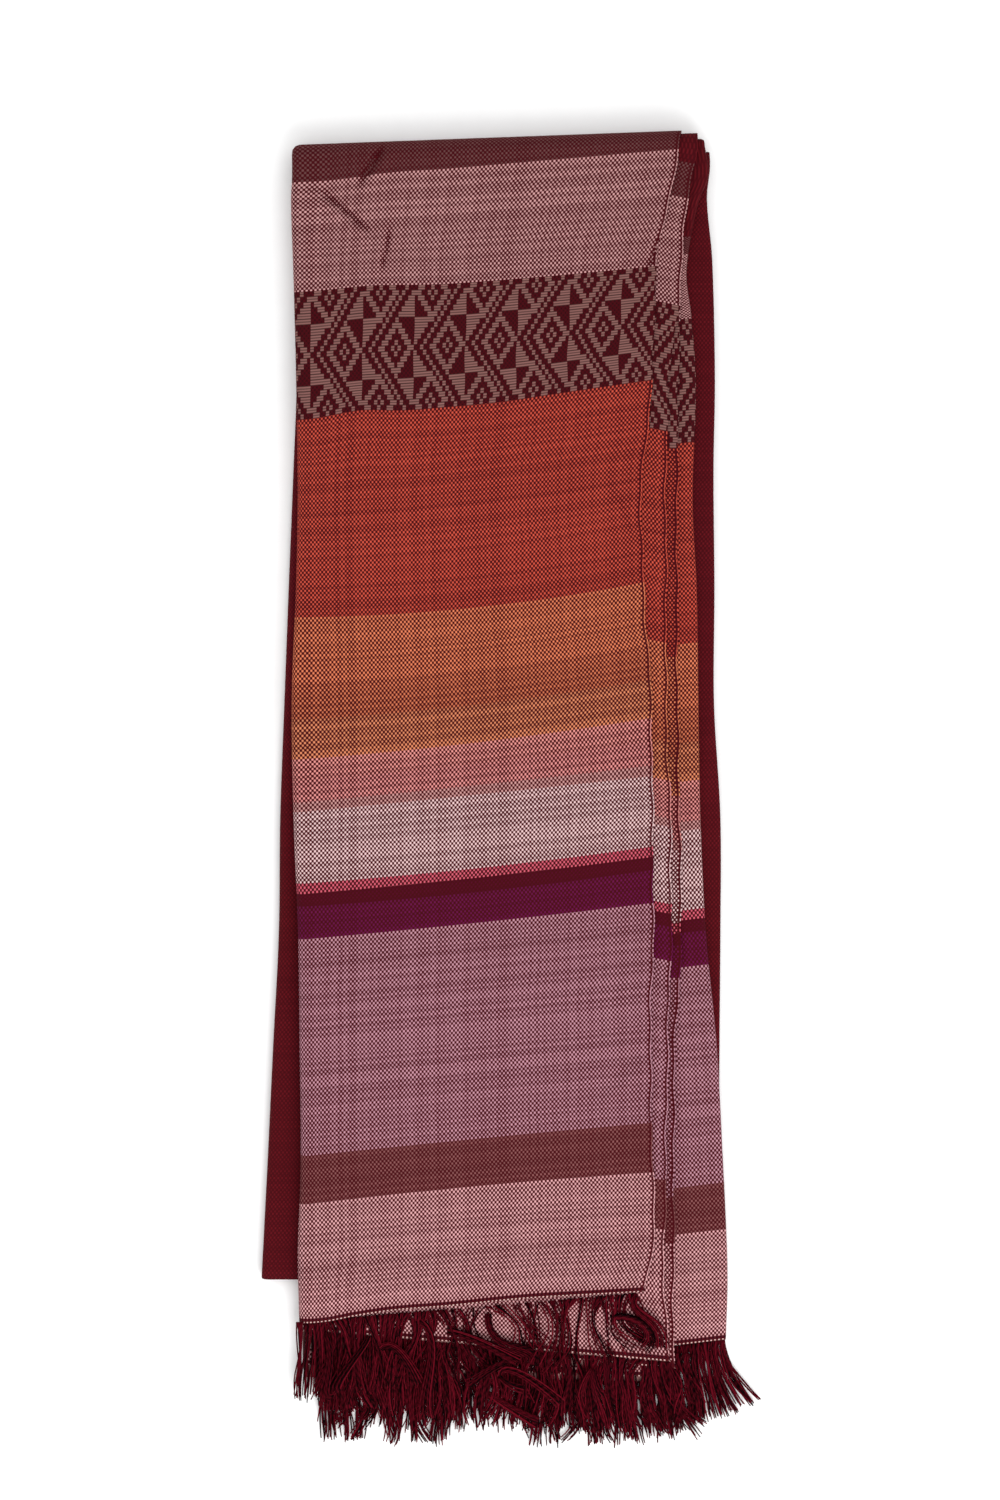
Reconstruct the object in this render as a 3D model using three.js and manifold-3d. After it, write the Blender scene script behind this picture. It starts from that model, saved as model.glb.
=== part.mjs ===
// A handwoven cotton scarf, folded into a long bundle and laid flat.
//
// The cloth is folded in half across its length and twice lengthwise, which makes a bundle of eight
// plies, and the bundle is folded over once more at the top. The front half, with the fringed ends,
// lies on the back half. Every ply that shows is a wall of its own, and the hidden plies share one
// rounded solid.
//
// Places on the scarf are given as "across", to the right of the front crease, and "down", from the
// top fold towards the fringe. "Depth" is measured into the bundle from its outer ply.
import * as THREE from "three";
import Module from "manifold-3d";

// Thickness of one ply as built, the gap between two pieces, and the bundle of eight plies.
const PLY = 1.0;
const GAP = 0.3;
const BUNDLE = 7.0;
// The slit between the front half and the back half, and the round of the top fold around it.
const SLIT = 0.6;
const TOP_ROUND = BUNDLE + SLIT / 2;
const HEIGHT = 2 * TOP_ROUND;
// Round of the lengthwise creases, which all eight plies turn about.
const CREASE_ROUND = BUNDLE / 2;

// The top fold runs slightly uphill to the right.
const TOP_FOLD_LEFT = 6.6;
const TOP_FOLD_SLOPE = -0.037;
// The back half ends at the scarf's middle, and there the front half drops to the surface.
const BACK_END = 501.8;
const DROP_START = 500;
const DROP_END = 532;
const DROP = HEIGHT - BUNDLE;

// Hems of the plies: distance down at the crease, and how much it changes for each mm to the right.
const HEMS = {
  top: { down: 520.5, slope: -0.09 },
  second: { down: 523, slope: 0.09 },
  third: { down: 526, slope: 0.09 },
  under: { down: 562.4, slope: -0.183 },
  hidden: { down: 545, slope: 0.012 },
};

// Edges of the front half, across: the crease, the selvedges of three plies, and the rounded fold.
const FRONT_EDGES = [
  { down: 0, crease: -1.7, top: 168.3, second: 176.5, third: 174.5, under: 177.0 },
  { down: 20, crease: -1.4, top: 165.1, second: 172.0, third: 170.0, under: 177.7 },
  { down: 32, crease: -1.9, top: 163.0, second: 170.4, third: 168.5, under: 173.4 },
  { down: 60, crease: -0.9, top: 157.0, second: 168.3, third: 167.5, under: 170.5 },
  { down: 80, crease: -0.3, top: 156.3, second: 166.4, third: 167.2, under: 172.6 },
  { down: 110, crease: 0.4, top: 155.3, second: 162.6, third: 166.8, under: 174.6 },
  { down: 160, crease: 1.1, top: 150.8, second: 161.6, third: 166.6, under: 173.2 },
  { down: 200, crease: 0.3, top: 152.0, second: 161.8, third: 166.6, under: 175.0 },
  { down: 250, crease: -1.5, top: 155.1, second: 161.8, third: 166.9, under: 175.7 },
  { down: 300, crease: -0.7, top: 155.7, second: 163.6, third: 167.6, under: 176.6 },
  { down: 350, crease: 1.2, top: 155.9, second: 163.8, third: 168.3, under: 179.0 },
  { down: 400, crease: 1.9, top: 154.9, second: 162.4, third: 165.6, under: 183.7 },
  { down: 450, crease: 2.4, top: 155.7, second: 161.6, third: 165.1, under: 186.4 },
  { down: 490, crease: 1.1, top: 156.0, second: 160.8, third: 165.1, under: 188.2 },
  { down: 508, crease: 1.4, top: 151.0, second: 161.0, third: 165.1, under: 188.4 },
  { down: 545, crease: 1.6, top: 149.2, second: 164.3, third: 165.6, under: 187.9 },
];

// Edges of the back half, across. It lies at a small angle to the front, and its right edge waves.
const BACK_EDGES = [
  { down: 0, left: 0.5, right: 178.0 },
  { down: 20, left: 0.3, right: 181.0 },
  { down: 35, left: 0.2, right: 179.6 },
  { down: 60, left: 0.2, right: 181.9 },
  { down: 110, left: 0.2, right: 183.1 },
  { down: 150, left: -1.3, right: 182.5 },
  { down: 200, left: -3.3, right: 182.9 },
  { down: 250, left: -5.2, right: 182.7 },
  { down: 300, left: -7.0, right: 185.5 },
  { down: 350, left: -7.6, right: 185.5 },
  { down: 400, left: -10.1, right: 185.1 },
  { down: 450, left: -12.5, right: 184.9 },
  { down: 502, left: -15.2, right: 184.9 },
];

// Soft swells of the front half, each an oval mound: its middle, its half sizes and its rise.
const SWELLS = [
  { across: 30, down: 180, wide: 14, long: 75, rise: 0.8 },
  { across: 95, down: 120, wide: 40, long: 60, rise: 0.5 },
  { across: 120, down: 300, wide: 30, long: 90, rise: 0.6 },
  { across: 55, down: 400, wide: 34, long: 80, rise: 0.5 },
];

// The plies under the top one are modelled from a little inside its selvedge.
const TUCK = { second: 18, third: 12, under: 6 };

// Fringes, which hang from a strip along each hem. "From" and "to" are across, "drop" is how far
// the tips settle towards the surface, and "lean" is how far the rightmost lock flares. "Sides"
// is the number of sides of a lock.
const FRINGES = [
  { hem: "top", from: 1, to: 148, locks: 58, depth: 0.5, length: 27.5, drop: 1.2, lean: 0, sides: 4 },
  { hem: "second", from: 9, to: 161, locks: 50, depth: 1.8, length: 27, drop: 2.6, lean: 0, sides: 3 },
  { hem: "hidden", from: 13, to: 138, locks: 42, depth: 5.4, length: 25.5, drop: 0.8, lean: 0, sides: 3 },
  { hem: "under", from: 151, to: 186, locks: 17, depth: 5.4, length: 25.5, drop: 0.8, lean: 14, sides: 3 },
];
// The woven strip that a fringe's locks are rooted in, down, and its stations across.
const STRIP = 3.2;
const STRIP_STEPS = 14;
// A lock is a bunch of warp ends: its half width and half thickness at the root, the share of them
// left at the tip, and how uneven the lengths are.
const LOCK_HALF_WIDTH = 0.95;
const LOCK_HALF_THICK = 0.45;
const LOCK_TIP = 0.55;
const LOCK_STEPS = 3;
const UNEVEN = 0.14;
// The tips swing sideways in a long and a short wave along the hem.
const SWAYS = [
  { reach: 2.2, wave: 9, start: 0 },
  { reach: 1.1, wave: 5.1, start: 2 },
];
// Where the locks leave the plane of their ply and settle towards the surface, down.
const SETTLE_START = 550;
const SETTLE_END = 574;
// The hidden fringe is thin and short at its middle.
const THIN_FROM = 68;
const THIN_TO = 92;
const THIN_LENGTH = 0.4;
// Sections of a lock, across and up.
const LOCK_SECTIONS = {
  3: [[-1, -1], [1, -1], [0, 1]],
  4: [[-1, 0], [0, -1], [1, 0], [0, 1]],
};
// The hidden plies run on past the top fold into the back half.
const CORE_TAIL = 2;

const COLOURS = {
  maroon: 0x56151a,
  fringe: 0x3e0c14,
  orange: 0x9a4c33,
  red: 0x882e24,
  pink: 0x9c5953,
  lilac: 0x8b5863,
};

const smooth = (value, start, end) => THREE.MathUtils.smoothstep(value, start, end);

// A column of an edge table at any distance down, on a smooth curve through its rows.
function edge(table, column, down) {
  const last = table.length - 1;
  let i = 0;
  while (i < last - 1 && down > table[i + 1].down) i += 1;
  const slopeAt = (k) => {
    const before = table[Math.max(k - 1, 0)];
    const after = table[Math.min(k + 1, last)];
    return (after[column] - before[column]) / (after.down - before.down);
  };
  const start = table[i];
  const end = table[i + 1];
  const span = end.down - start.down;
  const t = THREE.MathUtils.clamp((down - start.down) / span, 0, 1);
  const rise = end[column] - start[column];
  const bend = (slopeAt(i) * span - rise) * (1 - t) - (slopeAt(i + 1) * span - rise) * t;
  return start[column] + rise * t + bend * t * (1 - t);
}

function swell(across, down) {
  let rise = 0;
  for (const mound of SWELLS) {
    const a = (across - mound.across) / mound.wide;
    const b = (down - mound.down) / mound.long;
    rise += mound.rise * Math.exp(-a * a - b * b);
  }
  return rise;
}

const topFold = (across) => TOP_FOLD_LEFT + TOP_FOLD_SLOPE * across;
const hemAt = (name, across) => HEMS[name].down + HEMS[name].slope * across;
const toPoint = (across, down, height) => [across, -down, height];

// Places on the front half, on the round of the top fold and on the back half.
function frontPoint(across, down, depth) {
  const drop = DROP * smooth(down, DROP_START, DROP_END);
  const rise = swell(across, down) * (1 - depth / BUNDLE);
  return toPoint(across, down, HEIGHT - depth - drop + rise);
}

function turnPoint(across, angle, depth) {
  const radius = TOP_ROUND - depth;
  const down = topFold(across) + TOP_ROUND - radius * Math.sin(angle);
  const rise = swell(across, down) * (1 - depth / BUNDLE) * (1 + Math.cos(angle)) / 2;
  return toPoint(across, down, TOP_ROUND + radius * Math.cos(angle) + rise);
}

const backPoint = (across, down, depth) => toPoint(across, down, depth);

// Stations that all plies share, down the front half and down the back half.
const FRONT_DOWNS = [
  500, 480, 450, 420, 385, 350, 315, 280, 245, 210, 180, 150, 120, 95, 75, 58, 42, 30, 20,
];
const BACK_DOWNS = [24, 35, 60, 90, 120, 160, 200, 250, 300, 350, 400, 450, BACK_END];
const TURN_STEPS = 6;
// Longest step between the hem and the first shared station.
const HEM_STEP = 4;
// Where slanted stations read the edge tables, across.
const LEFT = 0;
const MIDDLE = 80;
const RIGHT = 145;

// The stack of rings of one ply, from its hem up the front half and round the top fold. Each
// station is a function that gives its distance down at a place across, and outline(station) gives
// the ply's section there as [across, depth] points, the same number each time. Past the top fold
// a ply may run on a little way into the back half.
function frontRings(hem, outline, tail = 0) {
  const rings = [];
  const hemSteps = Math.ceil((hemAt(hem, MIDDLE) - DROP_START) / HEM_STEP);
  const stations = FRONT_DOWNS.map((down) => () => down);
  for (let i = hemSteps - 1; i >= 0; i -= 1) {
    const share = i / hemSteps;
    stations.unshift((across) => THREE.MathUtils.lerp(hemAt(hem, across), DROP_START, share));
  }
  for (const station of stations) {
    const section = outline(station);
    rings.push(section.map(([across, depth]) => frontPoint(across, station(across), depth)));
  }
  for (let i = 0; i <= TURN_STEPS; i += 1) {
    const angle = (Math.PI * i) / TURN_STEPS;
    const section = outline(() => TOP_ROUND);
    rings.push(section.map(([across, depth]) => turnPoint(across, angle, depth)));
  }
  if (tail > 0) {
    const end = (across) => topFold(across) + TOP_ROUND + tail;
    const section = outline(() => TOP_ROUND);
    rings.push(section.map(([across, depth]) => backPoint(across, end(across), depth)));
  }
  return rings;
}

// The back half's rings, from a line that lies "start" past the top fold's round to its end.
function backRings(start, outline) {
  const first = (across) => topFold(across) + TOP_ROUND + start;
  const stations = [first, ...BACK_DOWNS.map((down) => () => down)];
  return stations.map((station) => (
    outline(station).map(([across, depth]) => backPoint(across, station(across), depth))
  ));
}

// Triangles that fill a section, all turning the way its outline turns.
function flatFaces(section) {
  const outline = section.map(([x, y]) => new THREE.Vector2(x, y));
  const turn = Math.sign(THREE.ShapeUtils.area(outline));
  return THREE.ShapeUtils.triangulateShape(outline, []).map((face) => {
    const own = Math.sign(THREE.ShapeUtils.area(face.map((i) => outline[i])));
    return own === turn ? face : [...face].reverse();
  });
}

// A closed mesh from a stack of rings with equal numbers of points, with flat ends.
function solidFromRings(rings, flat) {
  const size = rings[0].length;
  const points = rings.flat();
  const faces = [];
  for (let i = 0; i + 1 < rings.length; i += 1) {
    for (let k = 0; k < size; k += 1) {
      const next = (k + 1) % size;
      const [a, b, c, d] = [i * size + k, i * size + next, (i + 1) * size + next, (i + 1) * size + k];
      faces.push([a, b, c], [a, c, d]);
    }
  }
  const offset = (rings.length - 1) * size;
  for (const face of flatFaces(flat.first)) faces.push([...face].reverse());
  for (const face of flatFaces(flat.last)) faces.push(face.map((i) => i + offset));
  return outward(points, faces);
}

// Turns every face the other way where the mesh would be inside out.
function outward(points, faces) {
  let volume = 0;
  for (const [a, b, c] of faces) {
    const [p, q, r] = [a, b, c].map((i) => new THREE.Vector3(...points[i]));
    volume += p.dot(q.cross(r));
  }
  return { points, faces: volume < 0 ? faces.map((face) => [...face].reverse()) : faces };
}

function geometryOf({ points, faces }) {
  const geometry = new THREE.BufferGeometry();
  geometry.setAttribute("position", new THREE.Float32BufferAttribute(points.flat(), 3));
  geometry.setIndex(faces.flat());
  geometry.computeVertexNormals();
  return geometry;
}

const wasm = await Module();
wasm.setup();

function manifoldOf({ points, faces }) {
  const vertProperties = new Float32Array(points.flat());
  const triVerts = new Uint32Array(faces.flat());
  return new wasm.Manifold(new wasm.Mesh({ numProp: 3, vertProperties, triVerts }));
}

function geometryOfManifold(solid) {
  const mesh = solid.getMesh();
  const geometry = new THREE.BufferGeometry();
  geometry.setAttribute("position", new THREE.BufferAttribute(mesh.vertProperties.slice(), 3));
  geometry.setIndex(Array.from(mesh.triVerts));
  geometry.computeVertexNormals();
  return geometry;
}

// Points of a half circle in (across, depth), from its top to its bottom, bulging to one side.
function roundSide(across, depth, radius, side, steps) {
  const points = [];
  for (let i = 0; i <= steps; i += 1) {
    const angle = (Math.PI * i) / steps;
    points.push([across + side * radius * Math.sin(angle), depth - radius * Math.cos(angle)]);
  }
  return points;
}

const CREASE_STEPS = 6;
const FOLD_STEPS = 5;
const FLAT_STEPS = 5;

// Even points from one place across to another, without the last.
function flatRun(from, to, depth, steps) {
  return Array.from({ length: steps }, (_, i) => [from + ((to - from) * i) / steps, depth]);
}

// The top ply: from its selvedge to the left, and round the crease under the front half.
function topSection(station) {
  const centre = edge(FRONT_EDGES, "crease", station(LEFT)) + CREASE_ROUND;
  const right = edge(FRONT_EDGES, "top", station(RIGHT));
  const outer = roundSide(centre, CREASE_ROUND, CREASE_ROUND, -1, CREASE_STEPS);
  const inner = roundSide(centre, CREASE_ROUND, CREASE_ROUND - PLY, -1, CREASE_STEPS);
  return [
    ...flatRun(right, centre, 0, FLAT_STEPS),
    ...outer,
    ...inner.reverse(),
    ...flatRun(right, centre, PLY, FLAT_STEPS).reverse(),
  ];
}

// A ply that shows beside the one above it: a flat strip that ends in its selvedge.
function stripSection(name, depth) {
  return (station) => {
    const inner = edge(FRONT_EDGES, "top", station(RIGHT)) - TUCK[name];
    const right = edge(FRONT_EDGES, name, station(RIGHT));
    return [[inner, depth], [right, depth], [right, depth + PLY], [inner, depth + PLY]];
  };
}

// The four innermost plies turn round the scarf's middle line: a strip with a rounded right edge.
const UNDER_DEPTH = 3 * (PLY + GAP);
const UNDER_ROUND = (BUNDLE - UNDER_DEPTH) / 2;
function underSection(station) {
  const inner = edge(FRONT_EDGES, "top", station(RIGHT)) - TUCK.under;
  const right = edge(FRONT_EDGES, "under", station(RIGHT)) - UNDER_ROUND;
  return [
    ...flatRun(inner, right, UNDER_DEPTH, FLAT_STEPS),
    ...roundSide(right, UNDER_DEPTH + UNDER_ROUND, UNDER_ROUND, 1, FOLD_STEPS),
    ...flatRun(inner, right, BUNDLE, FLAT_STEPS).reverse(),
  ];
}

// The hidden plies of the front half, under the top ply, stepped where the strips lie on them.
function hiddenFrontSection(station) {
  const centre = edge(FRONT_EDGES, "crease", station(LEFT)) + CREASE_ROUND;
  const top = edge(FRONT_EDGES, "top", station(RIGHT));
  const [a, b, c] = [TUCK.second, TUCK.third, TUCK.under].map((tuck) => top - tuck - GAP);
  const [first, second, third] = [1, 2, 3].map((n) => n * (PLY + GAP));
  const inset = PLY + GAP;
  return [
    [a, first],
    [a, second],
    [b, second],
    [b, third],
    [c, third],
    [c, BUNDLE],
    [centre + GAP, BUNDLE],
    [centre + GAP, BUNDLE - inset],
    ...roundSide(centre, CREASE_ROUND, CREASE_ROUND - inset, -1, CREASE_STEPS).reverse(),
  ];
}

// The upper ply of the back half, which shows to the left and right: round the crease to the
// surface at the left, and round the middle line's fold at the right.
function backSection(station) {
  const left = edge(BACK_EDGES, "left", station(LEFT)) + CREASE_ROUND;
  const right = edge(BACK_EDGES, "right", station(RIGHT)) - UNDER_ROUND;
  const fold = UNDER_DEPTH + UNDER_ROUND;
  return [
    ...roundSide(left, CREASE_ROUND, CREASE_ROUND, -1, CREASE_STEPS),
    ...roundSide(right, fold, UNDER_ROUND, 1, FOLD_STEPS).reverse(),
    ...roundSide(right, fold, UNDER_ROUND - PLY, 1, FOLD_STEPS),
    ...roundSide(left, CREASE_ROUND, CREASE_ROUND - PLY, -1, CREASE_STEPS).reverse(),
  ];
}

// The hidden plies of the back half. Two pairs of selvedges show as ridges at the right.
const RIDGE_ROUND = (UNDER_DEPTH - GAP) / 4;
const RIDGE_INSET = 3.4;
function hiddenBackSection(station) {
  const left = edge(BACK_EDGES, "left", station(LEFT)) + CREASE_ROUND;
  const right = edge(BACK_EDGES, "right", station(RIGHT));
  const inset = PLY + GAP;
  const ridge = (depth) => roundSide(right - RIDGE_INSET, depth, RIDGE_ROUND, 1, 4);
  const wallEnd = right - UNDER_ROUND - GAP;
  return [
    ...ridge(RIDGE_ROUND),
    ...ridge(3 * RIDGE_ROUND).slice(1),
    [wallEnd, 4 * RIDGE_ROUND],
    [wallEnd, BUNDLE - inset],
    ...roundSide(left, CREASE_ROUND, CREASE_ROUND - inset, -1, CREASE_STEPS).reverse(),
    [left + GAP, inset],
    [left + GAP, 0],
  ];
}

// The mesh of one ply of the front half, or of the back half, with its section as given.
function frontSolid(hem, outline, tail) {
  const flat = { first: outline(() => hemAt(hem, MIDDLE)), last: outline(() => TOP_ROUND) };
  return solidFromRings(frontRings(hem, outline, tail), flat);
}

function backSolid(start, outline) {
  const flat = { first: outline(() => TOP_ROUND + start), last: outline(() => BACK_END) };
  return solidFromRings(backRings(start, outline), flat);
}

// The scarf's middle, where each pair of plies turns back on itself: rounded lips on the back
// half's end, one for each pair.
const LIP_PAIRS = 4;
const LIP_INSET = 4.5;
const LIP_REACH = 1.1;
const LIP_ROOT = 1;
const LIP_STEPS = 5;
function endLip(index) {
  const pitch = (BUNDLE - PLY - GAP) / LIP_PAIRS;
  const radius = pitch / 2;
  const middle = (index + 0.5) * pitch;
  const ends = [
    edge(BACK_EDGES, "left", BACK_END) + LIP_INSET,
    edge(BACK_EDGES, "right", BACK_END) - LIP_INSET,
  ];
  const root = BACK_END - LIP_ROOT;
  const section = [[root, middle + radius], [root, middle - radius]];
  for (let i = 0; i <= LIP_STEPS; i += 1) {
    const angle = (Math.PI * i) / LIP_STEPS;
    section.push([BACK_END + LIP_REACH * Math.sin(angle), middle - radius * Math.cos(angle)]);
  }
  const rings = ends.map((across) => section.map(([down, height]) => toPoint(across, down, height)));
  return solidFromRings(rings, { first: section, last: section });
}

// What lies above a ply past its hem, where the hidden plies under it show as a step.
const CUT_END = 556;
const CUT_HIGH = -8;
const CUT_ACROSS = [-20, 20, 60, 100, 140, 180];
function clearedPast(hem, depth) {
  const section = [...CUT_ACROSS.map((x) => [x, depth]), ...CUT_ACROSS.map((x) => [x, CUT_HIGH]).reverse()];
  const steps = Math.ceil((CUT_END - hemAt(hem, MIDDLE)) / HEM_STEP);
  const rings = [];
  for (let i = 0; i <= steps; i += 1) {
    const station = (across) => THREE.MathUtils.lerp(hemAt(hem, across), CUT_END, i / steps);
    rings.push(section.map(([across, d]) => frontPoint(across, station(across), d)));
  }
  return manifoldOf(solidFromRings(rings, { first: section, last: section }));
}

function hiddenLayers() {
  let solid = manifoldOf(frontSolid("hidden", hiddenFrontSection, CORE_TAIL));
  solid = solid.subtract(clearedPast("second", 2 * (PLY + GAP)));
  solid = solid.subtract(clearedPast("third", 3 * (PLY + GAP)));
  solid = solid.add(manifoldOf(backSolid(GAP, hiddenBackSection)));
  for (let i = 0; i < LIP_PAIRS; i += 1) solid = solid.add(manifoldOf(endLip(i)));
  return geometryOfManifold(solid);
}

// A point on a fringe: it lies in its ply's plane and settles towards the surface past the hems.
function fringePoint(fringe, across, down, lift) {
  const [x, y, z] = frontPoint(across, down, fringe.depth);
  return [x, y, z + lift - fringe.drop * smooth(down, SETTLE_START, SETTLE_END)];
}

// The woven end that the strands hang from: a narrow strip just past the hem.
function fringeStrip(fringe) {
  const half = PLY / 2;
  const corners = [[0, half], [STRIP, half], [STRIP, -half], [0, -half]];
  const rings = [];
  for (let i = 0; i <= STRIP_STEPS; i += 1) {
    const across = fringe.from + ((fringe.to - fringe.from) * i) / STRIP_STEPS;
    const start = hemAt(fringe.hem, across) + GAP;
    rings.push(corners.map(([on, up]) => fringePoint(fringe, across, start + on, up)));
  }
  return solidFromRings(rings, { first: corners, last: corners });
}

// How far the tips swing sideways, which changes slowly along the hem so that no locks cross.
function sway(fringe, across) {
  const share = (across - fringe.from) / (fringe.to - fringe.from);
  let swing = fringe.lean * share ** 2;
  for (const { reach, wave, start } of SWAYS) {
    swing += reach * Math.sin(across / wave + start + fringe.depth);
  }
  return swing;
}

// A fixed irregular series of shares between 0 and 1.
const scatter = (index) => Math.abs((Math.sin(index * 12.9) * 43.7) % 1);

// Locks differ in length, and few reach far in the middle of the hidden fringe.
function lockLength(fringe, index, across) {
  const short = fringe.hem === "hidden" && across > THIN_FROM && across < THIN_TO;
  return fringe.length * (1 - UNEVEN * scatter(index)) * (short ? THIN_LENGTH : 1);
}

function fringeLock(fringe, index) {
  const root = fringe.from + ((fringe.to - fringe.from) * (index + 0.5)) / fringe.locks;
  const length = lockLength(fringe, index, root);
  const first = hemAt(fringe.hem, root) + GAP + STRIP / 2;
  const section = LOCK_SECTIONS[fringe.sides];
  const rings = [];
  for (let i = 0; i <= LOCK_STEPS; i += 1) {
    const t = i / LOCK_STEPS;
    const taper = THREE.MathUtils.lerp(1, LOCK_TIP, t);
    const middle = root + sway(fringe, root) * t ** 1.5;
    const down = first + (STRIP / 2 + length) * t;
    rings.push(section.map(([side, up]) => (
      fringePoint(fringe, middle + side * LOCK_HALF_WIDTH * taper, down, up * LOCK_HALF_THICK * taper)
    )));
  }
  return solidFromRings(rings, { first: section, last: section });
}

function fringeGeometry(fringe) {
  let solid = manifoldOf(fringeStrip(fringe));
  for (let i = 0; i < fringe.locks; i += 1) solid = solid.add(manifoldOf(fringeLock(fringe, i)));
  return geometryOfManifold(solid);
}

function addPiece(group, name, geometry, colour) {
  const material = new THREE.MeshStandardMaterial({ color: colour, roughness: 0.9, metalness: 0 });
  const mesh = new THREE.Mesh(geometry, material);
  mesh.name = name;
  group.add(mesh);
}

const scarf = new THREE.Group();
addPiece(scarf, "top_layer", geometryOf(frontSolid("top", topSection)), COLOURS.red);
const secondSection = stripSection("second", PLY + GAP);
addPiece(scarf, "second_layer", geometryOf(frontSolid("second", secondSection)), COLOURS.orange);
const thirdSection = stripSection("third", 2 * (PLY + GAP));
addPiece(scarf, "third_layer", geometryOf(frontSolid("third", thirdSection)), COLOURS.pink);
addPiece(scarf, "under_layer", geometryOf(frontSolid("under", underSection)), COLOURS.lilac);
addPiece(scarf, "hidden_layers", hiddenLayers(), COLOURS.maroon);
addPiece(scarf, "back_layer", geometryOf(backSolid(CORE_TAIL + GAP, backSection)), COLOURS.maroon);
for (const fringe of FRINGES) {
  addPiece(scarf, `${fringe.hem}_fringe`, fringeGeometry(fringe), COLOURS.fringe);
}

// The origin is at the middle of the underside.
const box = new THREE.Box3().setFromObject(scarf);
const middle = box.getCenter(new THREE.Vector3());
scarf.position.set(-middle.x, -middle.y, -box.min.z);

export default scarf;
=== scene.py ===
"""A handwoven cotton scarf, folded into a long bundle and laid flat with its fringes towards the viewer.

The warp is maroon. Coloured weft bands and one brocaded band cross each end, and the middle is plain.
The cloth is folded in half across its length and twice lengthwise, and once more at the top.

Places are in millimetres: "across" to the right of the front crease, and "down" from the top fold.
"Depth" goes into the bundle of plies from its outer face.
"""
import math

import bpy
import numpy as np
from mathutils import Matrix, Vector


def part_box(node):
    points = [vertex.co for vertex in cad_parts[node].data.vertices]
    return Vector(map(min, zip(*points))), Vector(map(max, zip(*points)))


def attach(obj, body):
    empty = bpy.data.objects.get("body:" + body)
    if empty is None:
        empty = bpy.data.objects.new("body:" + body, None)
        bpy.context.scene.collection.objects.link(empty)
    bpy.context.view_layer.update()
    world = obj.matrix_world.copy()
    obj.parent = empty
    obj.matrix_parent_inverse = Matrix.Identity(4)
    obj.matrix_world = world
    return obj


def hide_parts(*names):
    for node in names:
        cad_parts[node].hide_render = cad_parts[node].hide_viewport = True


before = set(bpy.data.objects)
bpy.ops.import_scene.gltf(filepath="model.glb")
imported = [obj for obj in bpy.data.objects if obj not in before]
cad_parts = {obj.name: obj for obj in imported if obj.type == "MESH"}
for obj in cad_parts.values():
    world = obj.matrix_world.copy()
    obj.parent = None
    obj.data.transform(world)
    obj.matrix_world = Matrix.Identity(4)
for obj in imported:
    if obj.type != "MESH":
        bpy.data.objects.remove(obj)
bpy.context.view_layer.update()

# The surface and the view: a plain white sheet, seen from straight above as the scarf was laid out.
MM = 0.001
PHOTO_WIDTH = 1000
PHOTO_HEIGHT = 1500
PHOTO_MM_PER_PIXEL = 0.435
# The pixel of the photograph where "across" and "down" start.
PHOTO_ACROSS_START = 295
PHOTO_DOWN_START = 128
LENS = 85
SENSOR_HEIGHT = 36
CLOTH_HEIGHT = 12

# The back half's lower left corner, which fixes the scarf's own places in the frame.
BACK_CORNER = {"across": -15.2, "down": 501.8}
back_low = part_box("back_layer")[0]
ORIGIN_ACROSS = BACK_CORNER["across"] - back_low[0] / MM
ORIGIN_DOWN = BACK_CORNER["down"] + back_low[1] / MM


def in_frame(across, down, height):
    """Points of the frame, in millimetres, from places on the scarf."""
    return np.stack(np.broadcast_arrays(across - ORIGIN_ACROSS, ORIGIN_DOWN - down, height), axis=-1)


def add_camera():
    across = (PHOTO_WIDTH / 2 - PHOTO_ACROSS_START) * PHOTO_MM_PER_PIXEL
    down = (PHOTO_HEIGHT / 2 - PHOTO_DOWN_START) * PHOTO_MM_PER_PIXEL
    distance = PHOTO_HEIGHT * PHOTO_MM_PER_PIXEL * LENS / SENSOR_HEIGHT
    data = bpy.data.cameras.new("camera")
    data.lens = LENS
    data.sensor_fit = "VERTICAL"
    data.sensor_height = SENSOR_HEIGHT
    camera = bpy.data.objects.new("camera", data)
    camera.location = Vector(in_frame(across, down, CLOTH_HEIGHT + distance)) * MM
    bpy.context.scene.collection.objects.link(camera)
    bpy.context.scene.camera = camera


def linear(hex_colour):
    """A linear colour with alpha from an sRGB hex value."""
    channels = [int(hex_colour[i:i + 2], 16) / 255 for i in (1, 3, 5)]
    return [c / 12.92 if c <= 0.04045 else ((c + 0.055) / 1.055) ** 2.4 for c in channels] + [1.0]


def add(tree, kind, inputs=(), **settings):
    """Adds a shader node. Its inputs go by number or name, each a value, a socket or a node."""
    made = tree.nodes.new("ShaderNode" + kind)
    for name, value in settings.items():
        setattr(made, name, value)
    for key, value in (inputs.items() if isinstance(inputs, dict) else enumerate(inputs)):
        if isinstance(value, bpy.types.Node):
            value = value.outputs[0]
        if isinstance(value, bpy.types.NodeSocket):
            tree.links.new(value, made.inputs[key])
        else:
            made.inputs[key].default_value = value
    return made


def maths(tree, operation, *inputs):
    return add(tree, "Math", inputs, operation=operation)


def mapped(tree, value, low, high, to_low=0.0, to_high=1.0, **settings):
    return add(tree, "MapRange", {0: value, 1: low, 2: high, 3: to_low, 4: to_high}, **settings)


def empty_material(name):
    material = bpy.data.materials.new(name)
    material.use_nodes = True
    material.node_tree.nodes.clear()
    return material, material.node_tree


FLOOR_SIZE = 8.0
FLOOR_DROP = 0.1
WORLD_STRENGTH = 1.06
LAMP_POWER = 16.0
LAMP_SIZE = 1.1
LAMP_PLACE = (0.45, -1.15, 0.95)


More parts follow.
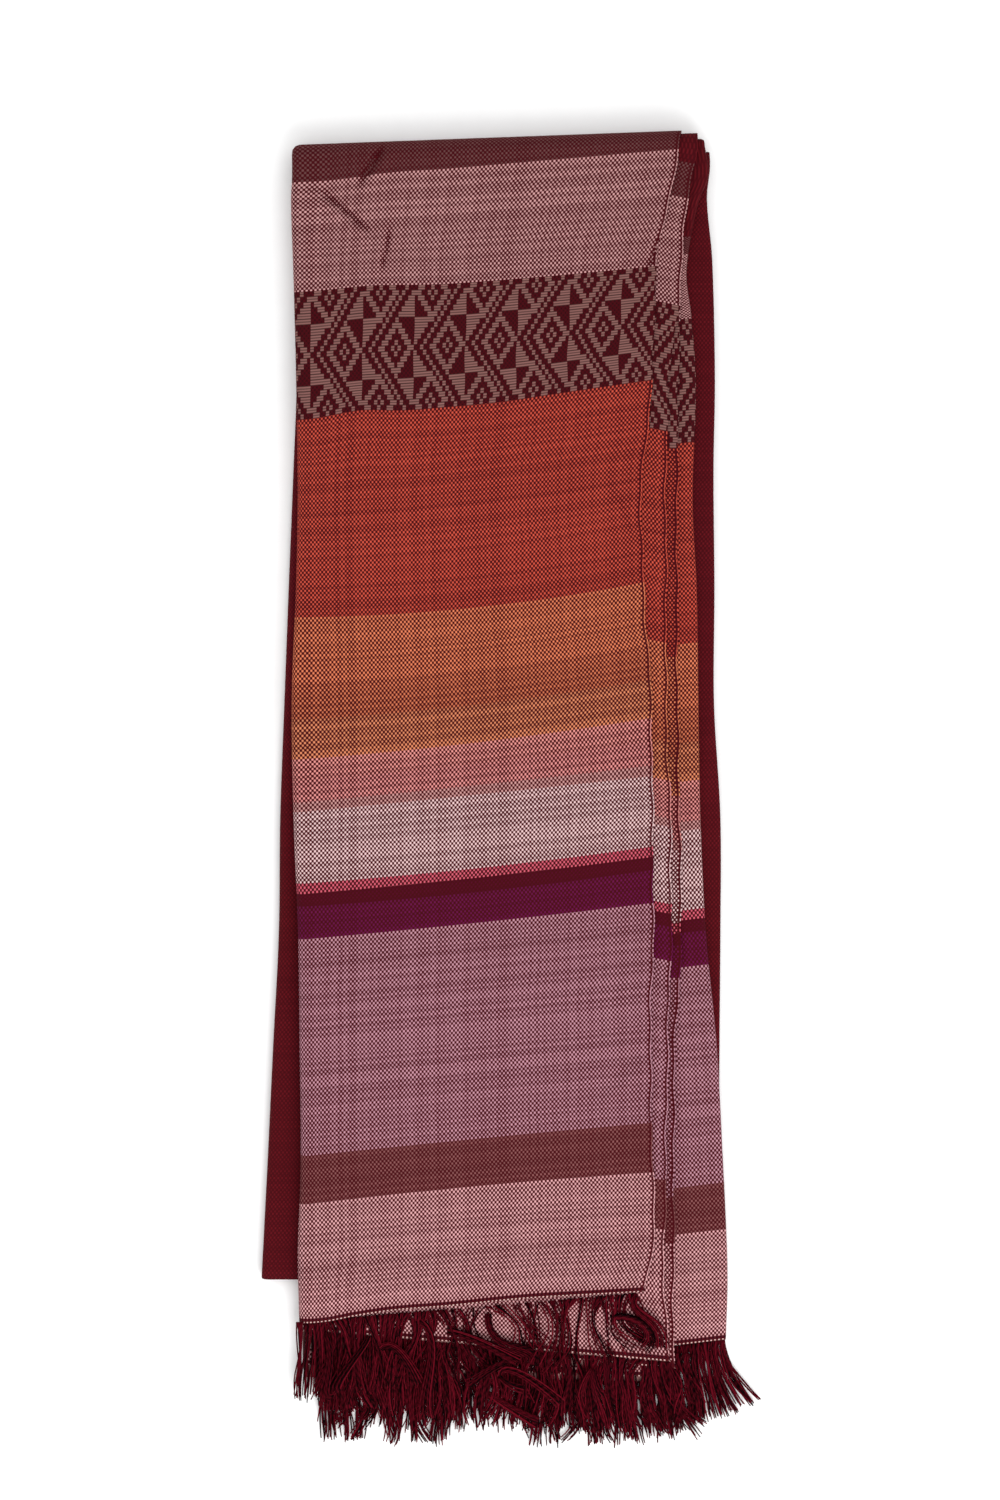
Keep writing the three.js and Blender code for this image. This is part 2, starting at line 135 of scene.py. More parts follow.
def add_surface():
    """Seamless white card: matt, and bright enough to leave only a faint shadow round the cloth."""
    material, tree = empty_material("white card")
    grain = add(tree, "TexNoise", {"Scale": 900.0, "Detail": 2.0})
    tone = mapped(tree, grain, 0, 1, 0.93, 0.96)
    shader = add(tree, "BsdfPrincipled",
                 {"Base Color": tone, "Roughness": 0.9, "Specular IOR Level": 0.1})
    add(tree, "OutputMaterial", {0: shader})
    mesh = bpy.data.meshes.new("card")
    half = FLOOR_SIZE / 2
    corners = [(-half, -half, 0), (half, -half, 0), (half, half, 0), (-half, half, 0)]
    mesh.from_pydata(corners, [], [(0, 1, 2, 3)])
    mesh.materials.append(material)
    card = bpy.data.objects.new("card", mesh)
    card.location.z = -FLOOR_DROP * MM
    bpy.context.scene.collection.objects.link(card)


def add_light():
    """A bright even surround, and one large soft lamp from the lower right that models the folds."""
    world = bpy.data.worlds.new("studio")
    bpy.context.scene.world = world
    world.use_nodes = True
    tree = world.node_tree
    tree.nodes.clear()
    sky = add(tree, "Background", {0: (1.0, 1.0, 1.0, 1.0), 1: WORLD_STRENGTH})
    add(tree, "OutputWorld", {0: sky})
    data = bpy.data.lights.new("soft lamp", "AREA")
    data.energy = LAMP_POWER
    data.size = LAMP_SIZE
    lamp = bpy.data.objects.new("soft lamp", data)
    lamp.location = LAMP_PLACE
    lamp.rotation_euler = (-lamp.location).to_track_quat("-Z", "Y").to_euler()
    bpy.context.scene.collection.objects.link(lamp)


add_camera()
add_surface()
add_light()
bpy.context.scene.view_settings.view_transform = "Standard"

# The cloth: plain-woven cotton, one warp end over one pick. The maroon warp shows between the weft's
# dots, so every band is a mixture of its weft and maroon. A brocading weft floats in the third band.
# A band's start is given on the top layer at its middle, its crease and its selvedge, and on the
# layers that show beside it.
BAND_PLACES = ("middle", "crease", "selvedge", "second", "third", "under")
BANDS = [
    ("brown", "#603d3d", (1.0, 7.0, -3.0, 13.1, 16.0, 46.0)),
    ("pale pink", "#bf8f8e", (17.0, 23.7, 10.4, 28.3, 34.0, 53.0)),
    ("brocade ground", "#2e090e", (67.4, 71.8, 60.5, 75.7, 84.0, 81.3)),
    ("red", "#bd4b3a", (120.1, 127.5, 109.8, 131.4, 139.2, 135.3)),
    ("orange", "#d07451", (209.2, 213.4, 197.5, 224.0, 230.6, 223.2)),
    ("pink", "#d48882", (268.0, 275.4, 257.1, 283.6, 291.0, 283.2)),
    ("ivory", "#d6b4b4", (290.1, 297.8, 281.9, 303.2, 314.1, 304.1)),
    ("crimson", "#c9586a", (321.7, 328.4, 312.1, 336.3, 345.4, 338.4)),
    ("dark red", "#47081d", (325.8, 333.2, 316.7, 340.6, 350.2, 342.8)),
    ("purple", "#5a113d", (331.9, 338.3, 322.1, 346.0, 355.0, 348.0)),
    ("lilac", "#b1808d", (345.4, 352.8, 336.7, 361.1, 369.3, 363.2)),
    ("brown", "#794a4a", (439.1, 447.0, 432.0, 456.8, 465.0, 458.9)),
    ("pale pink", "#ca9698", (459.8, 468.1, 453.7, 478.5, 485.0, 479.4)),
]
# Changes of shade inside a band: how far down it, and the colour from there.
BAND_SHADES = {
    "orange": ((30, "#be6949"), (42, "#cb7c58")),
    "pink": ((9, "#cd8380"), (18, "#bb8986")),
}
HEM_PLACES = (511.6, 520.3, 505.9, 537.3, 540.9, 529.1)
HEM = HEM_PLACES[0]
MAROON_WEFT = "#581017"
MAROON_WARP = "#400910"
# Real thread spacing is 0.72 mm by 0.86 mm; it is drawn a fifth coarser, so that it shows.
WARP_SPACING = 0.86
PICK_SPACING = 1.03
# The hem: the last two picks are maroon, but for a light one beaten thin at its edge.
HEM_MAROON = 2 * PICK_SPACING
HEM_LIGHT_PICK = 0.6 * PICK_SPACING
HEM_MAROON_WEFT = "#280511"
HEM_LIGHT_WEFT = "#d0aaa4"
# The brocade: rows of cells, each taller than it is wide and filled by two ribs of the floating weft.
CELL_RIBS = 2
CELL_WIDTH = 1.39
BROCADE_ROWS = 23
BROCADE_START = BANDS[2][2][0]
BROCADE_END = BANDS[3][2][0]
CELL_HEIGHT = (BROCADE_END - BROCADE_START) / BROCADE_ROWS
BROCADE_REPEAT = 16
FLOAT_COLOUR = "#7b5450"


def weft_changes():
    """Where the weft changes along the warp, from the plain middle to the hem, and its colours."""
    changes = []
    for name, colour, starts in BANDS:
        changes.append((starts[0], colour))
        for later, shade in BAND_SHADES.get(name, ()):
            changes.append((starts[0] + later, shade))
    changes += [(HEM - HEM_MAROON, HEM_MAROON_WEFT), (HEM - HEM_LIGHT_PICK, HEM_LIGHT_WEFT)]
    places = np.array([change[0] for change in changes])
    # Each change falls between two picks, counted from the hem, but for the brocade's ends and the
    # light pick.
    on_pick = HEM - np.round((HEM - places) / PICK_SPACING) * PICK_SPACING
    own = np.isin(places, (BROCADE_START, BROCADE_END, HEM - HEM_LIGHT_PICK))
    colours = [MAROON_WEFT] + [change[1] for change in changes]
    return np.where(own, places, on_pick), np.array([linear(colour) for colour in colours])


WEFT_STARTS, WEFT_COLOURS = weft_changes()


def weft_at(at):
    return WEFT_COLOURS[np.searchsorted(WEFT_STARTS, at, side="right")]


# How much single threads differ, against the height of a dot, and the tint of the loose fibre.
THREAD_CONTRAST = 0.16
BLOOM_TINT = "#c08080"
# How far the threads wander, and how deep the weft sinks where shade is painted, against a dot's height.
WANDER = 0.5
PAINTED_SHADE_SINK = 0.65
# Scales of the noises: of the wander, of slubs along a pick and an end, and of the dye lots.
WANDER_SCALE = 45.0
PICK_SLUB_SCALE = 60.0
END_SLUB_SCALE = 40.0
LOT_SCALE = 220.0


def woven_cotton(name, banded):
    """Plain weave: round weft dots between maroon warps, matt, with a faint bloom of loose fibre."""
    material, tree = empty_material(name)
    threads = add(tree, "UVMap", uv_map="threads")
    spot = add(tree, "SeparateXYZ", (threads,))
    aside, along = spot.outputs[:2]
    # Threads wander a little, so the rows are never ruled.
    wander = add(tree, "TexNoise", {"Vector": threads, "Scale": WANDER_SCALE, "Detail": 2.0})
    shift = mapped(tree, wander, 0, 1, -WANDER * MM, WANDER * MM)
    weft_run = maths(tree, "ADD", aside, shift)
    warp_run = maths(tree, "ADD", along, shift)
    ends = maths(tree, "MULTIPLY", weft_run, 1 / (WARP_SPACING * MM))
    picks = maths(tree, "MULTIPLY_ADD", warp_run, 1 / (PICK_SPACING * MM), -HEM / PICK_SPACING)
    over = maths(tree, "COSINE", maths(tree, "MULTIPLY", ends, math.pi))
    under = maths(tree, "SINE", maths(tree, "MULTIPLY", picks, math.pi))
    dots = maths(tree, "MULTIPLY", over, under)
    # Each pick and each end has its own weight and tone, thick and thin along its length.
    pick_number = maths(tree, "FLOOR", picks)
    end_number = maths(tree, "ROUND", ends)
    pick_tone = add(tree, "TexWhiteNoise", {"W": pick_number}, noise_dimensions="1D")
    end_tone = add(tree, "TexWhiteNoise", {"W": end_number}, noise_dimensions="1D")
    along_pick = add(tree, "CombineXYZ", {0: aside, 1: pick_number})
    pick_slub = add(tree, "TexNoise", {"Vector": along_pick, "Scale": PICK_SLUB_SCALE, "Detail": 1.0})
    along_end = add(tree, "CombineXYZ", {0: end_number, 1: along})
    end_slub = add(tree, "TexNoise", {"Vector": along_end, "Scale": END_SLUB_SCALE, "Detail": 1.0})
    pick_weight = maths(tree, "ADD", pick_slub, pick_tone)
    end_weight = maths(tree, "ADD", end_slub, end_tone)
    balance = maths(tree, "SUBTRACT", pick_weight, end_weight)
    relief = maths(tree, "MULTIPLY_ADD", balance, THREAD_CONTRAST, dots)
    if banded:
        # At the selvedge the weft turns back in a row of knuckles, with painted shade in a hollow beside
        # them.
        knuckle_and_shade = mapped(tree, aside, 0.4 * MM, 0.65 * MM, 0.45, -0.9)
        near = mapped(tree, aside, 1.1 * MM, 1.4 * MM, 1.0, 0.0)
        relief = maths(tree, "MULTIPLY_ADD", knuckle_and_shade, near, relief)
    # Painted shade: in creases and on the third ply the weft is drawn sinking between the warp ends.
    painted_shade = add(tree, "Attribute", attribute_name="painted_shade")
    relief = maths(tree, "MULTIPLY_ADD", painted_shade.outputs[2], -PAINTED_SHADE_SINK, relief)
    cover = mapped(tree, relief, -0.25, 0.65, interpolation_type="SMOOTHSTEP")
    # The weft's colour is marked on the faces.
    if banded:
        weft = add(tree, "Attribute", attribute_name="weft")
    else:
        weft = add(tree, "RGB")
        weft.outputs[0].default_value = linear(MAROON_WEFT)
    # Dye lots and beat change slowly from pick to pick.
    lots = add(tree, "TexNoise", {"W": along, "Scale": LOT_SCALE, "Detail": 2.0}, noise_dimensions="1D")
    tone = maths(tree, "ADD", lots, pick_tone)
    shade = mapped(tree, tone, 0.4, 1.6, 0.88, 1.12)
    dyed = add(tree, "VectorMath", {0: weft, "Scale": shade.outputs[0]}, operation="SCALE")
    cloth = add(tree, "Mix", {0: cover, 6: linear(MAROON_WARP), 7: dyed}, data_type="RGBA")
    colour = cloth.outputs[2]
    height = relief
    if banded:
        # Floats of the brocading weft, in ribs, with painted shade in their hollows and at each cell's
        # ends.
        floats = add(tree, "Attribute", attribute_name="brocade")
        rib_turn = maths(tree, "MULTIPLY_ADD", along, 2 * CELL_RIBS * math.pi / (CELL_HEIGHT * MM),
                         -BROCADE_START * 2 * CELL_RIBS * math.pi / CELL_HEIGHT)
        rib = maths(tree, "COSINE", rib_turn)
        rib_shade = mapped(tree, rib, 1.0, -1.0, 0.42, 1.14)
        # Painted shade at the ends of each cell.
        cell_wave = maths(tree, "COSINE", maths(tree, "MULTIPLY", rib_turn, 0.5))
        cell_shade = mapped(tree, cell_wave, 0.6, 1.0, 1.0, 0.55)
        rib_shade = maths(tree, "MULTIPLY", rib_shade, cell_shade)
        slub_shade = mapped(tree, pick_slub, 0.2, 0.8, 0.85, 1.15)
        float_shade = maths(tree, "MULTIPLY", rib_shade, slub_shade)
        yarn = add(tree, "VectorMath", {0: linear(FLOAT_COLOUR)[:3], "Scale": float_shade},
                   operation="SCALE")
        mixed = add(tree, "Mix", {0: floats.outputs[2], 6: colour, 7: yarn}, data_type="RGBA")
        colour = mixed.outputs[2]
        raised = maths(tree, "MULTIPLY_ADD", rib, -0.4, 1.6)
        height = add(tree, "Mix", {0: floats.outputs[2], 2: relief, 3: raised},
                     data_type="FLOAT").outputs[0]
    bump = add(tree, "Bump", {"Height": height, "Strength": 0.6, "Distance": 0.15 * MM})
    shader = add(tree, "BsdfPrincipled",
                 {"Base Color": colour, "Normal": bump, "Roughness": 0.9, "Specular IOR Level": 0.03,
                  "Sheen Weight": 0.04, "Sheen Roughness": 0.6, "Sheen Tint": linear(BLOOM_TINT)})
    add(tree, "OutputMaterial", {0: shader})
    return material


striped_cotton = woven_cotton("handwoven striped cotton", banded=True)
plain_cotton = woven_cotton("handwoven maroon cotton", banded=False)


def band_place(column, at):
    """Where a place on the middle line of the top layer lies in another column, down."""
    rows = [starts for _, _, starts in BANDS] + [HEM_PLACES]
    middle = [row[0] for row in rows]
    other = [row[BAND_PLACES.index(column)] - row[0] for row in rows]
    return at + np.interp(at, middle, other)


# The bundle: two halves of this thickness with a slit between, and the radii of the folds that turn
# about them. A ply has its own thickness, and the next one that shows lies a step deeper.
CLOTH = 0.7
PLY = 1.3
BUNDLE = 7.0
SLIT = 0.6
TOP_ROUND = BUNDLE + SLIT / 2
CREASE_ROUND = BUNDLE / 2
HEIGHT = 2 * TOP_ROUND
# The top fold rises a little towards the right.
TOP_FOLD_LEFT = 6.6
TOP_FOLD_SLOPE = -0.037
# The back half ends sooner, and past its end the front half drops to the surface.
BACK_END = BACK_CORNER["down"]
DROP_START = 500
DROP_END = 532
# The rounded fold of the innermost plies, at the right.
UNDER_DEPTH = 3 * PLY
UNDER_ROUND = (BUNDLE - UNDER_DEPTH) / 2

# Edges of the front half, across: the crease, the selvedges of three plies, and the rounded fold.
FRONT_EDGES = {
    "down": (0, 20, 32, 60, 80, 110, 160, 200, 250, 300, 350, 400, 450, 490, 508, 545),
    "crease": (-1.7, -1.4, -1.9, -0.9, -0.3, 0.4, 1.1, 0.3, -1.5, -0.7, 1.2, 1.9, 2.4, 1.1, 1.4, 1.6),
    "top": (168.3, 165.1, 163.0, 157.0, 156.3, 155.3, 150.8, 152.0, 155.1, 155.7, 155.9, 154.9, 155.7,
            156.0, 151.0, 149.2),
    "second": (176.5, 172.0, 170.4, 168.3, 166.4, 162.6, 161.6, 161.8, 161.8, 163.6, 163.8, 162.4,
               161.6, 160.8, 161.0, 164.3),
    "third": (174.5, 170.0, 168.5, 167.5, 167.2, 166.8, 166.6, 166.6, 166.9, 167.6, 168.3, 165.6,
              165.1, 165.1, 165.1, 165.6),
    "under": (177.0, 180.0, 175.4, 170.5, 172.6, 174.6, 173.2, 175.0, 175.7, 176.6, 179.0, 183.7,
              186.4, 188.2, 188.4, 187.9),
}
# Edges of the back half, which lies at a small angle to the front.
BACK_EDGES = {
    "down": (0, 20, 35, 60, 110, 150, 200, 250, 300, 350, 400, 450, 502),
    "left": (0.5, 0.3, 0.2, 0.2, 0.2, -1.3, -3.3, -5.2, -7.0, -7.6, -10.1, -12.5, -15.2),
    "right": (178.0, 181.0, 179.6, 181.9, 183.1, 182.5, 182.9, 182.7, 185.5, 185.5, 185.1, 184.9, 184.9),
}


def smooth(value, start, end):
    t = np.clip((value - start) / (end - start), 0, 1)
    return t * t * (3 - 2 * t)


def edge(table, column, down):
    """A column of an edge table at any distance down, on a smooth curve through its rows."""
    downs = np.array(table["down"], float)
    places = np.array(table[column], float)
    steps = np.diff(places) / np.diff(downs)
    inner = (places[2:] - places[:-2]) / (downs[2:] - downs[:-2])
    slopes = np.concatenate([steps[:1], inner, steps[-1:]])
    i = np.clip(np.searchsorted(downs, down, side="right") - 1, 0, len(downs) - 2)
    span = downs[i + 1] - downs[i]
    t = np.clip((down - downs[i]) / span, 0, 1)
    rise = places[i + 1] - places[i]
    bend = (slopes[i] * span - rise) * (1 - t) - (slopes[i + 1] * span - rise) * t
    return places[i] + rise * t + bend * t * (1 - t)


# Small uneven waves of a free edge: their heights and lengths.
EDGE_WAVES = ((0.32, 3.7), (0.34, 8.9))


def selvedge(column, down):
    """A selvedge of the front half. Each has its waves in places of its own."""
    (height, length), (long_height, long_length) = EDGE_WAVES
    phase = len(column)
    waves = height * np.sin(down / length + phase) + long_height * np.sin(down / long_length + 2 * phase)
    return edge(FRONT_EDGES, column, down) + waves


# Soft swells of the front half, each an oval mound: its middle, its half sizes and its rise.
SWELLS = [
    (30, 180, 14, 75, 0.8), (95, 120, 40, 60, 0.5), (120, 300, 30, 90, 0.6), (55, 400, 34, 80, 0.5),
]


def mounds(table, across, down):
    """The sum of oval mounds at a place."""
    rise = 0
    for middle, low, wide, long, height in table:
        rise = rise + height * np.exp(-((across - middle) / wide) ** 2 - ((down - low) / long) ** 2)
    return rise


def top_fold(across):
    return TOP_FOLD_LEFT + TOP_FOLD_SLOPE * across


def place(across, run, depth):
    """A point of the bundle. "Run" goes along the outer ply, and on round the top fold to the back."""
    turn = top_fold(across) + TOP_ROUND
    angle = np.clip((turn - run) / TOP_ROUND, 0, math.pi)
    beyond = np.maximum(turn - math.pi * TOP_ROUND - run, 0)
    radius = TOP_ROUND - depth
    down = np.maximum(run, turn) - radius * np.sin(angle) + beyond
    drop = (HEIGHT - BUNDLE) * smooth(run, DROP_START, DROP_END)
    rise = mounds(SWELLS, across, down) * (1 - depth / BUNDLE) * (1 + np.cos(angle)) / 2
    return in_frame(across, down, TOP_ROUND + radius * np.cos(angle) - drop + rise)


def ply_mesh(outer, inner, threads, floats=None):
    """Points, faces, thread places and floats of a closed ply between two grids of points."""
    size = outer.shape[0] * outer.shape[1]
    index = np.arange(size).reshape(outer.shape[:2])
    front = np.stack([index[:-1, :-1], index[:-1, 1:], index[1:, 1:], index[1:, :-1]], -1).reshape(-1, 4)
    border = np.concatenate([index[0, :-1], index[:-1, -1], index[-1, :0:-1], index[:0:-1, 0]])
    after = np.roll(border, -1)
    rim = np.stack([after, border, border + size, after + size], -1)
    faces = np.concatenate([front, front[:, ::-1] + size, rim])
    points = np.concatenate([outer.reshape(-1, 3), inner.reshape(-1, 3)]) * MM
    corners = points[front]
    normals = np.cross(corners[:, 1] - corners[:, 0], corners[:, 2] - corners[:, 0])
    outward = points[front[:, 0]] - points[front[:, 0] + size]
    if (normals * outward).sum() < 0:
        faces = faces[:, ::-1]
    marks = np.zeros(len(front)) if floats is None else floats
    marks = np.concatenate([marks, marks, np.zeros(len(rim))])
    return points, faces, np.concatenate([threads.reshape(-1, 2)] * 2) * MM, marks


def shell(name, plies, material):
    """One piece from the meshes of one or more plies."""
    starts = np.cumsum([0] + [len(points) for points, _, _, _ in plies])
    points = np.concatenate([ply[0] for ply in plies])
    faces = np.concatenate([ply[1] + start for ply, start in zip(plies, starts)])
    threads = np.concatenate([ply[2] for ply in plies])
    mesh = bpy.data.meshes.new(name)
    mesh.from_pydata(points.tolist(), [], faces.tolist())
    mesh.polygons.foreach_set("use_smooth", np.ones(len(faces), bool))
    layer = mesh.uv_layers.new(name="threads")
    layer.data.foreach_set("uv", threads[faces.ravel()].ravel())
    if material is striped_cotton:
        # The weft's colour and the brocade's floats are marked on the faces.
        wefts = mesh.attributes.new("weft", "FLOAT_COLOR", "FACE")
        wefts.data.foreach_set("color", weft_at(threads[faces, 1].mean(axis=1) / MM).ravel())
        floats = mesh.attributes.new("brocade", "FLOAT", "FACE")
        floats.data.foreach_set("value", np.concatenate([ply[3] for ply in plies]))
    mesh.materials.append(material)
    piece = bpy.data.objects.new(name, mesh)
    bpy.context.scene.collection.objects.link(piece)
    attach(piece, "root")
    return piece


def wrapped(cell):
    """Cells to the nearest copy of a motif's middle."""
    return (cell + BROCADE_REPEAT / 2) % BROCADE_REPEAT - BROCADE_REPEAT / 2


def brocade_floats(cell, row):
    """Diamonds in diamonds, pinwheels between them, and chains of single cells that cross at both."""
    cell = cell % BROCADE_REPEAT
    rise = np.abs(row)
    middle = np.abs(wrapped(cell)) + rise
    corner = np.abs(wrapped(cell - 11)) + np.abs(rise - 10)
    rings = np.isin(middle, (1, 4, 5)) | np.isin(corner, (1, 4, 5))
    chain = (cell - 8 - rise) % BROCADE_REPEAT == 0
    low_vane = (rise >= 1) & (rise <= 5) & (cell >= 6) & (cell <= 5 + rise)
    high_vane = (rise >= 6) & (rise <= 10) & (cell >= rise - 5) & (cell <= 5)
    return (rise <= BROCADE_ROWS // 2) & (rings | chain | low_vane | high_vane)


# Rows of cells this close to a change of weft are left out, and so are parts of a cell at either end.
NEAR_ROW = 0.7
END_PART = 0.3


def cloth_rows(start, end, fine_end=None):
    """Places along the warp: the brocade's cells, on up and down the cloth, and each change of weft."""
    first = math.ceil((start - BROCADE_START) / CELL_HEIGHT + END_PART)
    last = math.floor((end - BROCADE_START) / CELL_HEIGHT - END_PART)
    cells = BROCADE_START + np.arange(first, last + 1) * CELL_HEIGHT
    if fine_end is not None:
        halves = cells[cells < fine_end] + CELL_HEIGHT / 2
        cells = np.concatenate([cells, halves])
    changes = WEFT_STARTS[(WEFT_STARTS > start) & (WEFT_STARTS < end)]
    outside = (cells < BROCADE_START) | (cells > BROCADE_END)
    near = np.abs(cells[:, None] - changes).min(axis=1) < NEAR_ROW
    rows = np.concatenate([[start], cells[~(outside & near)], changes, [end]])
    return np.unique(np.round(rows, 6))


def cloth_columns(width):
    """Places in from the selvedge: half a cell, then whole cells, and the last one as it falls."""
    cells = (np.arange(math.floor(width / CELL_WIDTH - 0.5)) + 0.5) * CELL_WIDTH
    return np.concatenate([[0], cells, [width]])


def floats_of(rows, columns):
    """Marks the faces of a grid that a brocading float covers."""
    row = np.floor((rows[:-1] + rows[1:] - 2 * BROCADE_START) / 2 / CELL_HEIGHT) - BROCADE_ROWS // 2
    cell = -np.round((columns[:-1] + columns[1:]) / 2 / CELL_WIDTH)
    return brocade_floats(*np.meshgrid(cell, row)).astype(float).ravel()


def striped_ply(name, sides, rows, columns):
    """A ply of banded cloth, whose grid runs along its threads."""
    threads = np.stack(np.broadcast_arrays(columns[None, :], rows[:, None]), -1)
    return shell(name, [ply_mesh(*sides, threads, floats_of(rows, columns))], striped_cotton)


def paint_shade(piece, shares):
    """Paints shade on the points of a piece, as the share of its weft drawn hidden between the warp ends.
    """
    painted_shade = piece.data.attributes.new("painted_shade", "FLOAT", "POINT")
    painted_shade.data.foreach_set("value", shares)


# The top layer: the outermost ply. Its selvedge lies at the right, and it turns round the crease at
# the left and round the top fold, with a few soft creases from folding.
TOP_WIDTH = 161.5
TOP_SELVEDGE = 155.0
TOP_END = -12.1
# Within this distance of the crease the threads crowd or part a little, to reach its place.
CREASE_EASE = 12.0
# How much less the threads at the crease follow the selvedge's line.
FOLLOW_LOSS = 0.7
# Creases: start and end across and down, half width, and height, which is below zero for a trough.
TOP_CREASES = [
    (38.5, 8.0, 28.5, 24.0, 1.7, -1.8),
    (42.1, 9.5, 32.1, 25.6, 2.2, 1.2),
    (11.0, 27.0, 33.0, 45.5, 1.3, -1.5),
    (9.0, 29.6, 31.0, 48.2, 2.2, 1.5),
    (42.0, 42.0, 37.5, 63.0, 1.1, -1.3),
    (39.4, 42.0, 34.9, 63.0, 2.0, 0.9),
    (159.5, 46.0, 153.0, 62.0, 1.4, -1.5),
    (36.0, 118.0, 27.0, 214.0, 6.0, 0.6),
    (14.0, 150.0, 20.0, 235.0, 6.0, -0.5),
    (136.0, 150.0, 151.0, 186.0, 3.0, -0.6),
    (120.0, 118.0, 149.0, 150.0, 3.5, 0.5),
    (133.0, 418.0, 150.0, 402.0, 2.2, -0.5),
    (134.0, 424.0, 151.0, 410.0, 2.2, 0.5),
    (126.0, 440.0, 150.0, 436.0, 2.4, -0.4),
]
# Rows are closer together down to here, where the sharp creases are.
FINE_END = 66.0
# A trough deeper than this gets painted shade, its weft drawn sinking.
SHADED_TROUGH_DEPTH = 0.4


def crease_relief(across, down):
    relief = np.zeros(np.broadcast(across, down).shape)
    for across_0, down_0, across_1, down_1, half_width, height in TOP_CREASES:
        way = np.array([across_1 - across_0, down_1 - down_0])
        length = math.hypot(*way)
        along = ((across - across_0) * way[0] + (down - down_0) * way[1]) / length ** 2
        aside = ((across - across_0) * way[1] - (down - down_0) * way[0]) / length
        fade = smooth(along, -0.25, 0.3) * (1 - smooth(along, 0.7, 1.25))
        relief += height * fade * np.exp(-(aside / half_width) ** 2)
    return relief


# Where the bands of the top layer wave, as mounds whose height is how far down a band moves.
BAND_WAVES = [
    (34, 75, 20, 20, -1.6), (28, 126, 14, 18, -2.2), (88, 124, 24, 16, 0.8), (46, 24, 12, 12, -0.7),
    (14, 18, 12, 10, 0.7), (12, 508, 11, 16, 1.2), (44, 508, 14, 16, -0.6), (100, 506, 22, 14, -0.6),
]


# How far the end of the ply, round the top fold, runs off level at the crease and at the selvedge,
# and where on the front the bands have reached their full tilt.
END_TILT_CREASE = 3.0
END_TILT_SELVEDGE = -2.7
TILT_FULL = 4


def side_tilt(column, end_tilt, at):
    lift = smooth(at, TOP_END, TILT_FULL)
    return np.interp(at, (TOP_END, 0), (end_tilt, 0)) + (band_place(column, at) - at) * lift


def top_tilt(across, at):
    """How far the bands of the top layer run off level, by a curve through their three places."""
    left = side_tilt("crease", END_TILT_CREASE, at)
    right = side_tilt("selvedge", END_TILT_SELVEDGE, at)
    share = (across - TOP_SELVEDGE / 2) / (TOP_SELVEDGE / 2)
    waves = mounds(BAND_WAVES, across, at)
    return (right - left) / 2 * share + (right + left) / 2 * share ** 2 + waves


def follow(inward):
    """How much of the selvedge's sway a thread takes on, this far in from it."""
    return 1 - FOLLOW_LOSS * smooth(inward, 0, TOP_WIDTH)


def lay_top_layer():
    rows = cloth_rows(TOP_END, HEM, FINE_END)
    columns = cloth_columns(TOP_WIDTH)
    at = rows[:, None]
    level = TOP_SELVEDGE - columns[None, :]
    run = at + top_tilt(level, at)
    sway = selvedge("top", run) - TOP_SELVEDGE
    path = level + follow(columns[None, :]) * sway
    # Near the crease the threads are eased, so that the ply always ends under it.
    centre = edge(FRONT_EDGES, "crease", np.maximum(run, TOP_ROUND)) + CREASE_ROUND
    eased = level < CREASE_EASE
    joint = CREASE_EASE + follow(TOP_SELVEDGE - CREASE_EASE) * sway
    share = (CREASE_EASE - level) / (CREASE_EASE - level.min())
    path = np.where(eased, joint - share * (joint - centre + math.pi * CREASE_ROUND), path)
    run = at + top_tilt(np.maximum(path, centre), at)
    angle = np.clip((centre - path) / CREASE_ROUND, 0, math.pi)
    sides = []
    for inset in (0, CLOTH):
        across = np.maximum(path, centre) - (CREASE_ROUND - inset) * np.sin(angle)
        depth = CREASE_ROUND - (CREASE_ROUND - inset) * np.cos(angle)
        points = place(across, run, depth)
        points[..., 2] += crease_relief(across, run) * np.cos(np.minimum(angle, math.pi / 2))
        sides.append(points)
    piece = striped_ply("top_ply", sides, rows, columns)
    # Painted shade along the troughs of the creases.
    crease_shade = np.clip(-crease_relief(path, run) - SHADED_TROUGH_DEPTH, 0, 1).ravel()
    paint_shade(piece, np.concatenate([crease_shade, crease_shade]))
    return piece


top_ply = lay_top_layer()
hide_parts("top_layer")


# The layers beside the top one: the selvedges of the second and third plies, and the four innermost
# plies, which turn round the scarf's middle line as one fold.
FIRST_BAND = BANDS[0][2][0]
TURN_ROWS = 24
# Near the hem the bands of the strips turn to the hem's slope.
HEM_SLOPE_LENGTH = 110
STRIPS = {
    "second": {"depth": PLY, "width": 26, "slope": 0.2, "hem_slope": 0.09, "middle": 159},
    "third": {"depth": 2 * PLY, "width": 24, "slope": 0.0, "hem_slope": 0.09, "middle": 165},
}
# The third ply is crumpled in shade between its neighbours; the shade is painted, its weft drawn partly
# hidden.
THIRD_SHADE = 0.3
# The fold of the innermost plies: how far it lies flat, over and under, and how its bands slope.
UNDER_FLAT = 30.0
UNDER_MIDDLE = 182
UNDER_SLOPE = -0.12


def strip_rows():
    """Places along the warp, closer together where a layer turns round the top fold."""
    turn = np.linspace(TOP_END, FIRST_BAND, TURN_ROWS)
    return np.unique(np.round(np.concatenate([turn, cloth_rows(TOP_END, HEM)]), 6))


def strip_run(column, middle, at):
    """How far a layer's bands have parted from the top layer's, and where they lie along the run."""
    lift = smooth(at, TOP_END, FIRST_BAND)
    return lift, band_place(column, at) * lift + (at + top_tilt(middle, at)) * (1 - lift)


